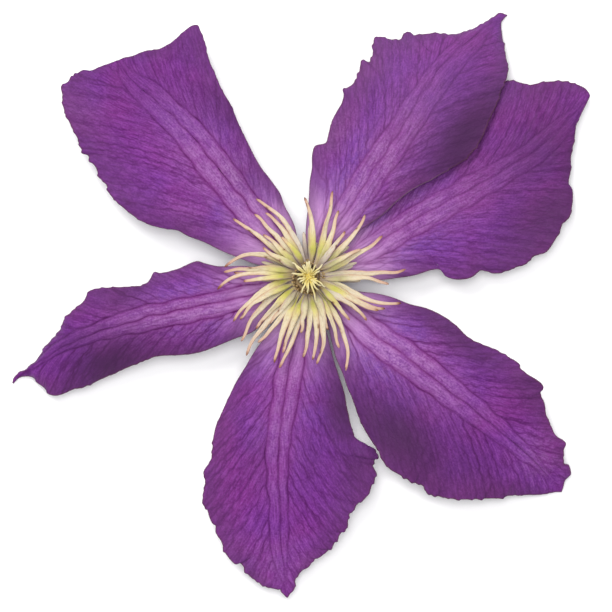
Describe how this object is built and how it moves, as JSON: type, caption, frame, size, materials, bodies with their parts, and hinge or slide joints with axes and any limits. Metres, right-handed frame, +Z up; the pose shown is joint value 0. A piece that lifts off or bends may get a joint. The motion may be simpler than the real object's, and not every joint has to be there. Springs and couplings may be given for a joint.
{
  "type": "clematis flower",
  "caption": "Wide-open purple clematis flower with wavy, pointed tepals, a ring of pale strap-like stamens and a yellow tuft of styles, lying face up.",
  "frame": {"origin": "middle of the cut face of the stalk stub, on the surface that the flower lies on", "axes": "+Z up along the stalk through the pistils; +X and +Y are to the right and to the top of the flower seen from above"},
  "size_m": [0.1046, 0.1056, 0.0129],
  "materials": {
    "tepal": "soft satin petal skin with darker veins and paler bands along the main ribs",
    "stamen": "matte, yellow-green near the root, cream further out, tan at the tip",
    "pistil": "matte pale yellow",
    "receptacle": "green stalk skin, slightly waxy, with a paler cut face"
  },
  "bodies": {
    "root": {"receptacle": "receptacle", "tepal_1": "tepal", "tepal_2": "tepal", "tepal_3": "tepal", "tepal_4": "tepal", "tepal_5": "tepal", "tepal_6": "tepal", "stamens": "stamen", "pistils": "pistil"}
  },
  "joints": []
}
